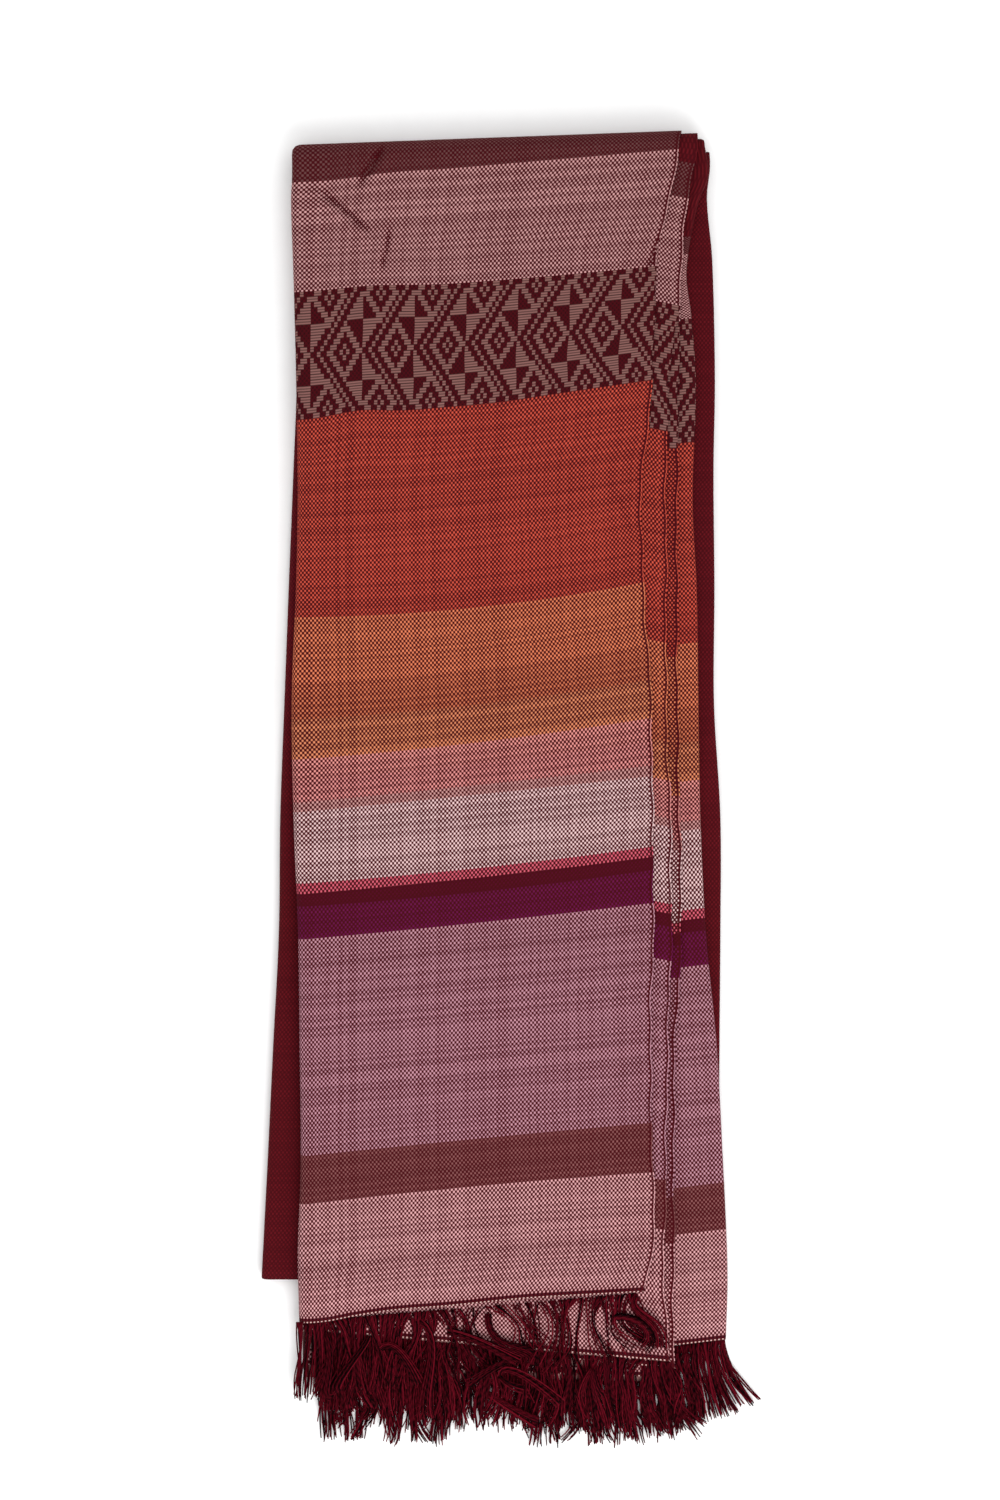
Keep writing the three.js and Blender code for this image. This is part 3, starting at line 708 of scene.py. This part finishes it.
def lay_strip(column):
    """A flat ply that shows beside the one above it. Its bands slope about a middle place across."""
    strip = STRIPS[column]
    rows = strip_rows()
    columns = cloth_columns(strip["width"])
    at = rows[:, None]
    lift, run = strip_run(column, strip["middle"], at)
    path = selvedge(column, np.maximum(run, TOP_ROUND)) - columns[None, :]
    near_hem = smooth(at, HEM - HEM_SLOPE_LENGTH, HEM)
    slope = strip["slope"] + (strip["hem_slope"] - strip["slope"]) * near_hem
    run = run + slope * (path - strip["middle"]) * lift
    sides = [place(path, run, strip["depth"] + inset) for inset in (0, CLOTH)]
    return striped_ply(f"{column}_ply", sides, rows, columns)


second_ply = lay_strip("second")
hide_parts("second_layer")

third_ply = lay_strip("third")
# Painted shade on the third ply.
paint_shade(third_ply, np.full(len(third_ply.data.vertices), THIRD_SHADE))
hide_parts("third_layer")


def lay_under_fold():
    rows = strip_rows()
    turn = math.pi * UNDER_ROUND
    columns = cloth_columns(2 * UNDER_FLAT + turn)
    at = rows[:, None]
    lift, run = strip_run("under", UNDER_MIDDLE, at)
    right = edge(FRONT_EDGES, "under", np.maximum(run, TOP_ROUND)) - UNDER_ROUND
    path = columns[None, :] - UNDER_FLAT
    angle = np.clip(path / UNDER_ROUND, 0, math.pi)
    flat_place = right + np.minimum(path, 0) - np.maximum(path - turn, 0)
    run = run + UNDER_SLOPE * (flat_place - UNDER_MIDDLE) * lift
    sides = []
    for inset in (0, CLOTH):
        radius = UNDER_ROUND - inset
        depth = UNDER_DEPTH + UNDER_ROUND - radius * np.cos(angle)
        sides.append(place(flat_place + radius * np.sin(angle), run, depth))
    return striped_ply("under_ply", sides, rows, columns)


under_ply = lay_under_fold()
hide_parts("under_layer")


# The back half: its outer ply lies on the surface, turns up round the crease at the left, and turns
# down at the right round the scarf's middle line. It ends in the lip of the fold across the scarf.
# It starts a little past the turn of the top fold.
BACK_GAP = 2.3
BACK_START = TOP_FOLD_LEFT + TOP_ROUND + BACK_GAP
BACK_STEP = 4.0
BACK_COLUMNS = 70
ARC_STEPS = 8
# The radius of a lip.
LIP = BUNDLE / 8
# How soon the slope of the top fold dies away down the back half.
SLOPE_FADE = 6


def lay_back_layer():
    downs = np.linspace(0, 1, int(BACK_END / BACK_STEP))[:, None]
    steps = np.linspace(0, 1, BACK_COLUMNS)[None, :]
    arcs = np.linspace(0, math.pi, ARC_STEPS)[None, :]
    sides = []
    for inset in (0, CLOTH):
        down = BACK_START + (BACK_END - LIP - BACK_START) * downs
        left = edge(BACK_EDGES, "left", down) + CREASE_ROUND
        right = edge(BACK_EDGES, "right", down) - UNDER_ROUND
        crease_radius = CREASE_ROUND - inset
        fold_radius = UNDER_ROUND - inset
        across = np.concatenate([
            right + (left - right) * steps[:, :-1],
            left - crease_radius * np.sin(arcs),
            left + (right - left) * steps[:, 1:-1],
            right + fold_radius * np.sin(arcs),
        ], axis=1)
        height = np.concatenate([
            np.full((1, steps.size - 1), inset),
            CREASE_ROUND - crease_radius * np.cos(arcs),
            np.full((1, steps.size - 2), BUNDLE - inset),
            BUNDLE - UNDER_ROUND + fold_radius * np.cos(arcs),
        ], axis=1)
        # Its upper end follows the slope of the top fold.
        along = down + TOP_FOLD_SLOPE * across * (1 - downs) ** SLOPE_FADE
        sides.append(in_frame(across, along, height))
    lengths = np.linalg.norm(np.diff(sides[0], axis=1), axis=-1)
    reached = np.concatenate([np.zeros((len(downs), 1)), np.cumsum(lengths, axis=1)], axis=1)
    threads = np.stack([reached, along], -1)
    return shell("back_ply", [ply_mesh(*sides, threads)], plain_cotton)


back_ply = lay_back_layer()
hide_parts("back_layer")


# The hidden layers: plies that run from the hem up the front half, round the top fold and down the
# back half to the scarf's middle, where each turns back into the next in a rounded lip. All turn round
# the crease at the left, so each has an upper leg and a lower one. At the hem they lie in steps.
# Hems: how far down they lie at the crease, and their slope.
HEMS = {"top": (520.5, -0.09), "second": (523.0, 0.09), "third": (526.0, 0.09),
        "hidden": (545.0, 0.012), "under": (562.4, -0.183)}
BUNDLE_MIDDLE = 80
RUN_STEP = 6.0
LEG = np.linspace(0, 1, 30)[None, :]
LEG_TURN = np.linspace(0, math.pi, ARC_STEPS)[None, 1:-1]
# Each leg of a hidden ply ends short of the strip or fold at the right, on the front and on the back.
UPPER_GAP = 0.4
LOWER_GAP = 3.0
BACK_UPPER_GAP = 3.4
BACK_LOWER_GAP = 2.6
# From here down the plies shear to their hems, which differ between the upper leg and the lower one.
SHEAR_START = 300
LEG_MARGIN = 0.2
# Thread places of the hidden plies start this far in, clear of the selvedge's knuckles.
INNER_START = 28


def hem_at(name, across):
    down, slope = HEMS[name]
    return down + slope * across


def round_crease(upper, left, lower, radius):
    """Places across, and depths, of a U of cloth: its upper leg, its turn and its lower leg."""
    across = np.concatenate([
        upper + (left - upper) * LEG,
        left - radius * np.sin(LEG_TURN),
        left + (lower - left) * LEG,
    ], axis=1)
    level = np.ones(LEG.shape)
    depth = CREASE_ROUND - radius * np.concatenate([level, np.cos(LEG_TURN), -level], axis=1)
    return across, np.broadcast_to(depth, across.shape)


def hidden_ply(column):
    """One U of cloth round the crease, at the depth of the ply that it goes on from."""
    ply_depth = STRIPS[column]["depth"]
    back_run = 2 * (TOP_FOLD_LEFT + TOP_ROUND + LIP) - math.pi * TOP_ROUND - BACK_END
    hem_run = hem_at(column, BUNDLE_MIDDLE)
    steps = int((hem_run - HEM_MAROON - back_run) / RUN_STEP)
    run = np.linspace(back_run, hem_run - HEM_MAROON, steps)
    run = np.concatenate([run, [hem_run - HEM_LIGHT_PICK, hem_run]])[:, None]
    down = np.abs(run)
    front = smooth(run, -math.pi * TOP_ROUND / 2, TOP_ROUND)
    left = (edge(FRONT_EDGES, "crease", down) * front + edge(BACK_EDGES, "left", down) * (1 - front)
            + CREASE_ROUND)
    on_front = run > -TOP_ROUND * math.pi
    back_right = edge(BACK_EDGES, "right", down)
    upper = np.where(on_front, edge(FRONT_EDGES, column, down) - STRIPS[column]["width"] - UPPER_GAP,
                     back_right - BACK_UPPER_GAP)
    lower = np.where(on_front, edge(FRONT_EDGES, "under", down) - UNDER_FLAT - LOWER_GAP,
                     back_right - BACK_LOWER_GAP)
    sides = []
    for inset in (0, CLOTH):
        across, depth = round_crease(upper, left, lower, CREASE_ROUND - ply_depth - inset)
        level = smooth(depth, ply_depth + LEG_MARGIN, BUNDLE - ply_depth - LEG_MARGIN)
        hem = hem_at(column, across) * (1 - level) + hem_at("hidden", across) * level
        along = run + (hem - hem_run) * smooth(run, SHEAR_START, hem_run - HEM_MAROON)
        sides.append(place(across, along, depth))
    threads = np.stack([across + INNER_START, HEM - (hem - along)], -1)
    return ply_mesh(*sides, threads)


def middle_lip(outer_depth):
    """Where a ply turns back into the next at the scarf's middle, as a U round the crease."""
    turns = np.linspace(0, math.pi, ARC_STEPS)[:, None]
    sides = []
    for inset in (0, CLOTH):
        depth = outer_depth + LIP - (LIP - inset) * np.cos(turns)
        down = BACK_END - LIP + (LIP - inset) * np.sin(turns)
        left = edge(BACK_EDGES, "left", down) + CREASE_ROUND
        right = edge(BACK_EDGES, "right", down) - UNDER_ROUND
        across, depths = round_crease(right, left, right, CREASE_ROUND - depth)
        sides.append(in_frame(across, down, BUNDLE - depths))
    threads = np.stack(np.broadcast_arrays(across + INNER_START, -LIP * turns), -1)
    return ply_mesh(*sides, threads)


hidden_plies = shell("hidden_plies", [hidden_ply("second"), hidden_ply("third"),
                                      middle_lip(0), middle_lip(2 * LIP)], striped_cotton)
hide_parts("hidden_layers")

# The fringes: cut warp ends of loose cotton yarn, in tousled locks.
YARN_RADIUS = 0.31
YARN_SPACING = 0.6
YARN_SIDES = 4
YARN_POINTS = 13
TAPER_START = 0.8
TIP_TAPER = 0.75
# The twist: its length, how far it is turned from one yarn to the next, and its share of painted shade in
# the tone.
TWIST_LENGTH = 3.4
TWIST_TURN = 17.0
TWIST_SHADE = 0.05
# How far the tone's noise moves on from one yarn to the next.
TONE_STEP = 0.45
# The dark and the light colour of the yarns, and where each starts in the noise.
YARN_TONES = ((0.38, "#0a0002"), (0.68, "#600a19"))


def cotton_yarn(name):
    """Soft dyed cotton yarn: matt, with painted shade in the hollows of its twist, and a bloom of fibre.
    """
    material, tree = empty_material(name)
    threads = add(tree, "UVMap", uv_map="threads")
    spot = add(tree, "SeparateXYZ", (threads,))
    number = maths(tree, "MULTIPLY", spot.outputs[0], 1 / MM)
    turn = maths(tree, "MULTIPLY", spot.outputs[1], 2 * math.pi / (TWIST_LENGTH * MM))
    twist = maths(tree, "SINE", maths(tree, "MULTIPLY_ADD", number, TWIST_TURN, turn))
    # Neighbouring yarns of a lock are nearly of one tone, and locks differ.
    own = add(tree, "TexNoise", {"W": number, "Scale": 1.0, "Detail": 3.0}, noise_dimensions="1D")
    mixed = maths(tree, "MULTIPLY_ADD", twist, TWIST_SHADE, own)
    colour = add(tree, "ValToRGB", (mixed,))
    for stop, (position, tone) in zip(colour.color_ramp.elements, YARN_TONES):
        stop.position = position
        stop.color = linear(tone)
    bump = add(tree, "Bump", {"Height": twist, "Strength": 0.4, "Distance": 0.1 * MM})
    shader = add(tree, "BsdfPrincipled",
                 {"Base Color": colour, "Normal": bump, "Roughness": 0.85, "Specular IOR Level": 0.02,
                  "Sheen Weight": 0.02, "Sheen Tint": linear(BLOOM_TINT)})
    add(tree, "OutputMaterial", {0: shader})
    return material


fringe_yarn = cotton_yarn("loose maroon cotton yarn")


def yarn_mesh(paths):
    """Closed tubes along paths, an array of (yarns, points, 3) in millimetres of the frame."""
    count, points, _ = paths.shape
    way = np.gradient(paths, axis=1)
    way /= np.linalg.norm(way, axis=-1, keepdims=True)
    side = np.cross(way, (0, 0, 1.0))
    side /= np.linalg.norm(side, axis=-1, keepdims=True) + 1e-9
    up = np.cross(side, way)
    turns = 2 * math.pi * np.arange(YARN_SIDES) / YARN_SIDES
    taper = np.interp(np.linspace(0, 1, points), (0, TAPER_START, 1), (1, 1, TIP_TAPER))
    reach = (YARN_RADIUS * taper)[None, :, None, None]
    rings = paths[:, :, None, :] + reach * (np.cos(turns)[:, None] * side[:, :, None, :]
                                            + np.sin(turns)[:, None] * up[:, :, None, :])
    index = np.arange(count * points * YARN_SIDES).reshape(count, points, YARN_SIDES)
    ahead = np.roll(index, -1, axis=2)
    walls = np.stack([index[:, :-1], ahead[:, :-1], ahead[:, 1:], index[:, 1:]], -1).reshape(-1, 4)
    faces = np.concatenate([walls, index[:, 0, ::-1], index[:, -1]])
    lengths = np.cumsum(np.linalg.norm(np.diff(paths, axis=1, prepend=paths[:, :1]), axis=-1), axis=1)
    tone = np.arange(count)[:, None, None] * TONE_STEP
    threads = np.stack([np.broadcast_to(tone, rings.shape[:3]),
                        np.broadcast_to(lengths[:, :, None], rings.shape[:3])], -1)
    return rings.reshape(-1, 3) * MM, faces, threads.reshape(-1, 2) * MM, np.zeros(len(faces))


# How each fringe is combed, along the hem: how far the tips reach sideways, how far the locks bow,
# their length, and what share of the yarns lies there. Its rows are the hems that it hangs from, by
# their place down and their depth. Its ends drop so far, and tousle is how much its locks differ.
FRINGES = {
    "top": {"from": 0.5, "to": 148.5, "drop": 1.4, "seed": 3, "tousle": 1.0,
            "rows": ((0, 0.4), (0.3, 1.0)),
            "across": (0, 12, 30, 45, 58, 66, 75, 90, 105, 115, 120, 133, 137, 148),
            "reach": (-1, 0, 1, -2, -3, 4, 12, 11, 4, -4, -5, 6, 12, 14),
            "bow": (0, 1, 1, -3, 4, 2, -4, 5, 4, 2, -3, -3, -4, -3),
            "length": (33, 33, 32, 32, 31, 30, 29, 28, 30, 30, 29, 28, 27, 26),
            "share": (1, 1, 1, 1, 0.9, 0.4, 0.3, 0.25, 0.3, 0.5, 0.7, 0.7, 0.45, 0.8)},
    "second": {"from": 9, "to": 163.5, "drop": 2.4, "seed": 5, "tousle": 0.8,
               "rows": ((0, 1.9), (3, 2.6)),
               "across": (9, 40, 70, 100, 116, 118, 125, 128, 144, 147, 152, 155, 163),
               "reach": (2, 2, 5, -3, 1, 2, 3, 4, 6, 8, 10, 10, 12),
               "bow": (1, -2, 3, 3, 2, 2, -1, -2, -2, -3, 2, 0, -3),
               "length": (33, 33, 32, 32, 32, 32, 32, 33, 33, 33, 33, 33, 32),
               "share": (1, 1, 0.9, 0.9, 1, 0.25, 0.25, 1, 1, 0.25, 0.25, 1, 1)},
    "hidden": {"from": 10, "to": 174, "drop": 0.8, "seed": 8, "tousle": 0.8,
               "rows": ((-12, 3.4), (-6, 4.4), (0, 5.2)),
               "across": (10, 40, 60, 68, 73, 76, 90, 96, 100, 120, 140, 160, 174),
               "reach": (1, 1, 1, 1, 2, 6, 6, 4, 2, 2, 3, 4, 4),
               "bow": (0, 1, 1, 1, 1, 1, 1, 1, 1, 0, 0, 0, 0),
               "length": (27, 28, 28, 27, 20, 24, 25, 26, 28, 28, 28, 24, 20),
               "share": (1, 1, 1, 1, 0.5, 0.35, 0.35, 0.6, 1, 1, 1, 1, 0.8)},
    "under": {"from": 158, "to": 187.8, "drop": 0.8, "seed": 13, "tousle": 0.35,
              "rows": ((0, 4.6), (0.5, 5.2), (1.0, 5.8)),
              "across": (160, 170, 175, 182, 187.5),
              "reach": (2, 3, 5, 9, 15),
              "bow": (0, 0, 0, -1, -1),
              "length": (34, 34, 33, 32, 31.5),
              "share": (1, 1, 1, 1, 1)},
}
LOCK_YARNS = (3, 10)
# How much the locks of a fringe differ by chance, in millimetres at their tips: in reach, in bow, in
# length, and in their waves, their curls and how far they lift. All grow in from the fringe's start.
REACH_SPREAD = 3.0
BOW_SPREAD = 1.8
LENGTH_SPREAD = 1.0
WAVE_SPREADS = (1.0, 1.6, 1.2)
FREE_WIDTH = 14
# And how much single yarns differ: in their share of the length, at the tip, in their waves, in lift.
YARN_SPREADS = (0.035, 1.0, 0.3, 0.25)
# How far the yarns of a lock draw together, and how far their roots lie up from the hem.
GATHER = 0.55
ROOT_LAP = 0.5
# Between these places down the yarns settle to the surface, which they clear by a little.
SETTLE_START = 540
SETTLE_END = 570
CLEARANCE = 0.05
# Locks that lie across the others: how many yarns each has, and its route, across and down.
CROSSING_LOCKS = {
    "top": [
        (10, ((37.0, 532.0), (41.8, 530.7), (47.0, 534.6), (50.9, 541.6), (53.5, 547.2))),
        (9, ((13.1, 524.6), (14.8, 539.0), (13.1, 549.4), (15.2, 553.8))),
        (9, ((31.8, 526.4), (27.4, 533.7), (20.0, 544.2), (18.7, 550.7))),
        (11, ((54.4, 519.0), (59.2, 526.4), (60.0, 534.6), (57.4, 544.2), (57.9, 554.6), (57.4, 562.5))),
        (12, ((66.1, 524.2), (75.3, 526.4), (86.1, 530.7), (95.3, 535.9), (97.4, 536.8))),
        (9, ((97.4, 536.4), (88.3, 539.0), (80.9, 543.3), (75.3, 547.2))),
        (9, ((89.2, 544.2), (91.3, 540.7), (96.6, 541.6), (101.8, 545.9), (110.1, 549.8), (115.3, 556.4))),
        (8, ((89.2, 544.2), (93.5, 547.2), (99.6, 549.4))),
        (11, ((84.0, 515.9), (87.0, 526.4), (94.4, 530.7), (101.8, 533.7), (102.7, 538.5))),
        (10, ((137.5, 518.5), (144.4, 517.2), (151.4, 521.1), (154.0, 525.5), (151.4, 531.6))),
        (10, ((147.9, 508.5), (148.5, 512.4), (152.7, 518.5), (158.3, 522.0), (159.6, 531.6))),
        (10, ((129.2, 541.1), (125.7, 546.8), (124.4, 552.9))),
        (10, ((129.6, 541.1), (130.5, 548.1), (133.1, 553.8))),
    ],
    "second": [
        (10, ((84.0, 552.0), (91.3, 556.4), (99.2, 561.1), (105.7, 564.6))),
    ],
}
# How far apart their yarns lie, and how far they lie over the fringe's first row.
CROSSING_SPREAD = 0.42
CROSSING_RISE = 0.8


def comb_row(name, fringe, row_down, depth, dice):
    """Paths of the yarns that hang from one ply's hem, gathered in locks."""
    roots = np.arange(fringe["from"], fringe["to"], YARN_SPACING)
    keep = dice.random(roots.size) < np.interp(roots, fringe["across"], fringe["share"])
    roots = roots[keep]
    sizes = dice.integers(*LOCK_YARNS, size=roots.size)
    lock = np.searchsorted(np.cumsum(sizes), np.arange(roots.size), side="right")
    locks = lock[-1] + 1
    centre = np.array([roots[lock == k].mean() for k in range(locks)])
    free = fringe["tousle"] * np.clip((centre - fringe["from"]) / FREE_WIDTH, 0.15, 1)

    def combed(column, spread):
        own = np.interp(centre, fringe["across"], fringe[column]) + dice.normal(0, spread, locks) * free
        return own[lock][:, None]

    reach = combed("reach", REACH_SPREAD)
    bow = combed("bow", BOW_SPREAD)
    length = combed("length", LENGTH_SPREAD)
    wave, curl, lift = (dice.normal(0, WAVE_SPREADS, (locks, 3)).T * free)[:, lock, None]
    own = dice.normal(0, 1, (roots.size, 4)) * YARN_SPREADS
    t = np.linspace(0, 1, YARN_POINTS)[None, :]
    gather = 1 - GATHER * np.sin(math.pi * np.minimum(t * 1.4, 1))
    yarn_length = length * (1 + own[:, :1])
    side = (reach * t ** 1.5 + bow * np.sin(math.pi * t) + wave * np.sin(2 * math.pi * t) + curl * t ** 5
            + own[:, 1:2] * t ** 2 + own[:, 2:3] * np.sin(2 * math.pi * t))
    across = centre[lock][:, None] + (roots - centre[lock])[:, None] * gather + side
    fall = np.sqrt(np.maximum(yarn_length ** 2 - reach ** 2, 100))
    down = hem_at(name, roots)[:, None] - ROOT_LAP + row_down + fall * t
    swing = lift * np.sin(math.pi * t * 0.8) + own[:, 3:4] * t
    return rest_on_floor(across, down, depth, fringe["drop"], swing)


def rest_on_floor(across, down, depth, drop, swing):
    settle = drop * smooth(down, SETTLE_START, SETTLE_END)
    paths = place(across, down, depth)
    paths[..., 2] = np.maximum(paths[..., 2] - settle + swing, YARN_RADIUS + CLEARANCE)
    return paths


def crossing_lock(route, yarns, depth, drop, dice):
    """Paths of a lock along a route. Its start is tucked under the others, and its tips spread."""
    stops = np.array(route)
    t = np.linspace(0, 1, YARN_POINTS)
    nearness = np.linspace(0, 1, len(stops))
    middle = np.stack([np.polyval(np.polyfit(nearness, stops[:, i], min(3, len(stops) - 1)), t)
                       for i in (0, 1)], -1)
    way = np.gradient(middle, axis=0)
    way /= np.linalg.norm(way, axis=1, keepdims=True)
    offsets = (np.arange(yarns) - (yarns - 1) / 2) * CROSSING_SPREAD + dice.normal(0, 0.15, yarns)
    spread = offsets[:, None] * (0.6 + 0.8 * t ** 2) + dice.normal(0, 0.35, (yarns, 1)) * t ** 2
    across = middle[:, 0] - spread * way[:, 1]
    down = middle[:, 1] + spread * way[:, 0]
    swing = 1.6 * np.sin(math.pi * t) - 0.9 * (1 - t) ** 4 + dice.normal(0, 0.3, (yarns, 1))
    return rest_on_floor(across, down, depth, drop, swing)


def comb_fringe(name):
    fringe = FRINGES[name]
    dice = np.random.default_rng(fringe["seed"])
    paths = [comb_row(name, fringe, row_down, depth, dice) for row_down, depth in fringe["rows"]]
    top_depth = fringe["rows"][0][1] - CROSSING_RISE
    for yarns, route in CROSSING_LOCKS.get(name, ()):
        paths.append(crossing_lock(route, yarns, top_depth, fringe["drop"], dice))
    return shell(f"{name}_fringe_yarns", [yarn_mesh(np.concatenate(paths))], fringe_yarn)


for fringe_name in FRINGES:
    comb_fringe(fringe_name)
    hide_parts(f"{fringe_name}_fringe")
